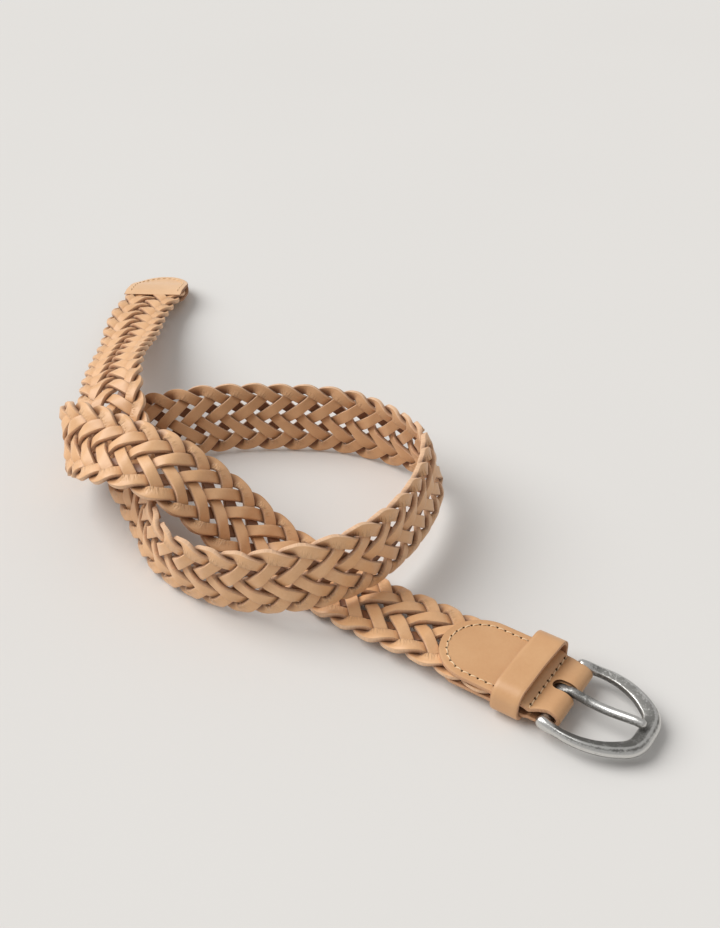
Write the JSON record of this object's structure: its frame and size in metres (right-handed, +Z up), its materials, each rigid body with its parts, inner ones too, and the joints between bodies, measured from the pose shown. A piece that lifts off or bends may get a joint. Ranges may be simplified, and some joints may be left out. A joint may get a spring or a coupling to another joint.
{
  "type": "braided leather belt",
  "caption": "Flat braided tan leather belt lying in a loose loop, with a swinging horseshoe buckle and prong, a folded stitched chape, a sliding keeper and a rounded tip.",
  "frame": {"origin": "middle of the belt's footprint, on the surface that it lies on", "axes": "+X along the strap's buckle end, towards the buckle; +Y from the buckle towards the tip's side; +Z up"},
  "size_m": [0.3724, 0.2014, 0.0502],
  "materials": {
    "braid_leather": "natural vegetable-tanned, satin grain with raw cut edges",
    "end_leather": "natural vegetable-tanned, smooth satin grain",
    "thread": "waxed cream thread",
    "buckle_metal": "antique silver, darkened and burnished"
  },
  "bodies": {
    "strap": {"strand_1": "braid_leather", "strand_2": "braid_leather", "strand_3": "braid_leather", "strand_4": "braid_leather", "strand_5": "braid_leather", "strand_6": "braid_leather", "strand_7": "braid_leather", "chape": "end_leather", "chape_thread_top": "thread", "chape_thread_bottom": "thread", "cross_thread_top": "thread", "cross_thread_bottom": "thread", "tip_top": "end_leather", "tip_bottom": "end_leather", "tip_thread_top": "thread", "tip_thread_bottom": "thread"},
    "keeper": {"keeper": "end_leather"},
    "buckle": {"buckle_frame": "buckle_metal", "buckle_bar": "buckle_metal"},
    "prong": {"prong": "buckle_metal"}
  },
  "joints": [
    {"name": "keeper_slide", "type": "slide", "parent": "strap", "child": "keeper", "axis": [1, 0, 0], "range_m": [-0.026, 0.0012]},
    {"name": "buckle_swing", "type": "hinge", "parent": "strap", "child": "buckle", "pos_m": [0.15185, -0.06554, 0.00695], "axis": [0, -1, 0], "range_deg": [-6, 35]},
    {"name": "prong_swing", "type": "hinge", "parent": "buckle", "child": "prong", "pos_m": [0.15185, -0.06554, 0.00695], "axis": [0, -1, 0], "range_deg": [0, 55]}
  ]
}
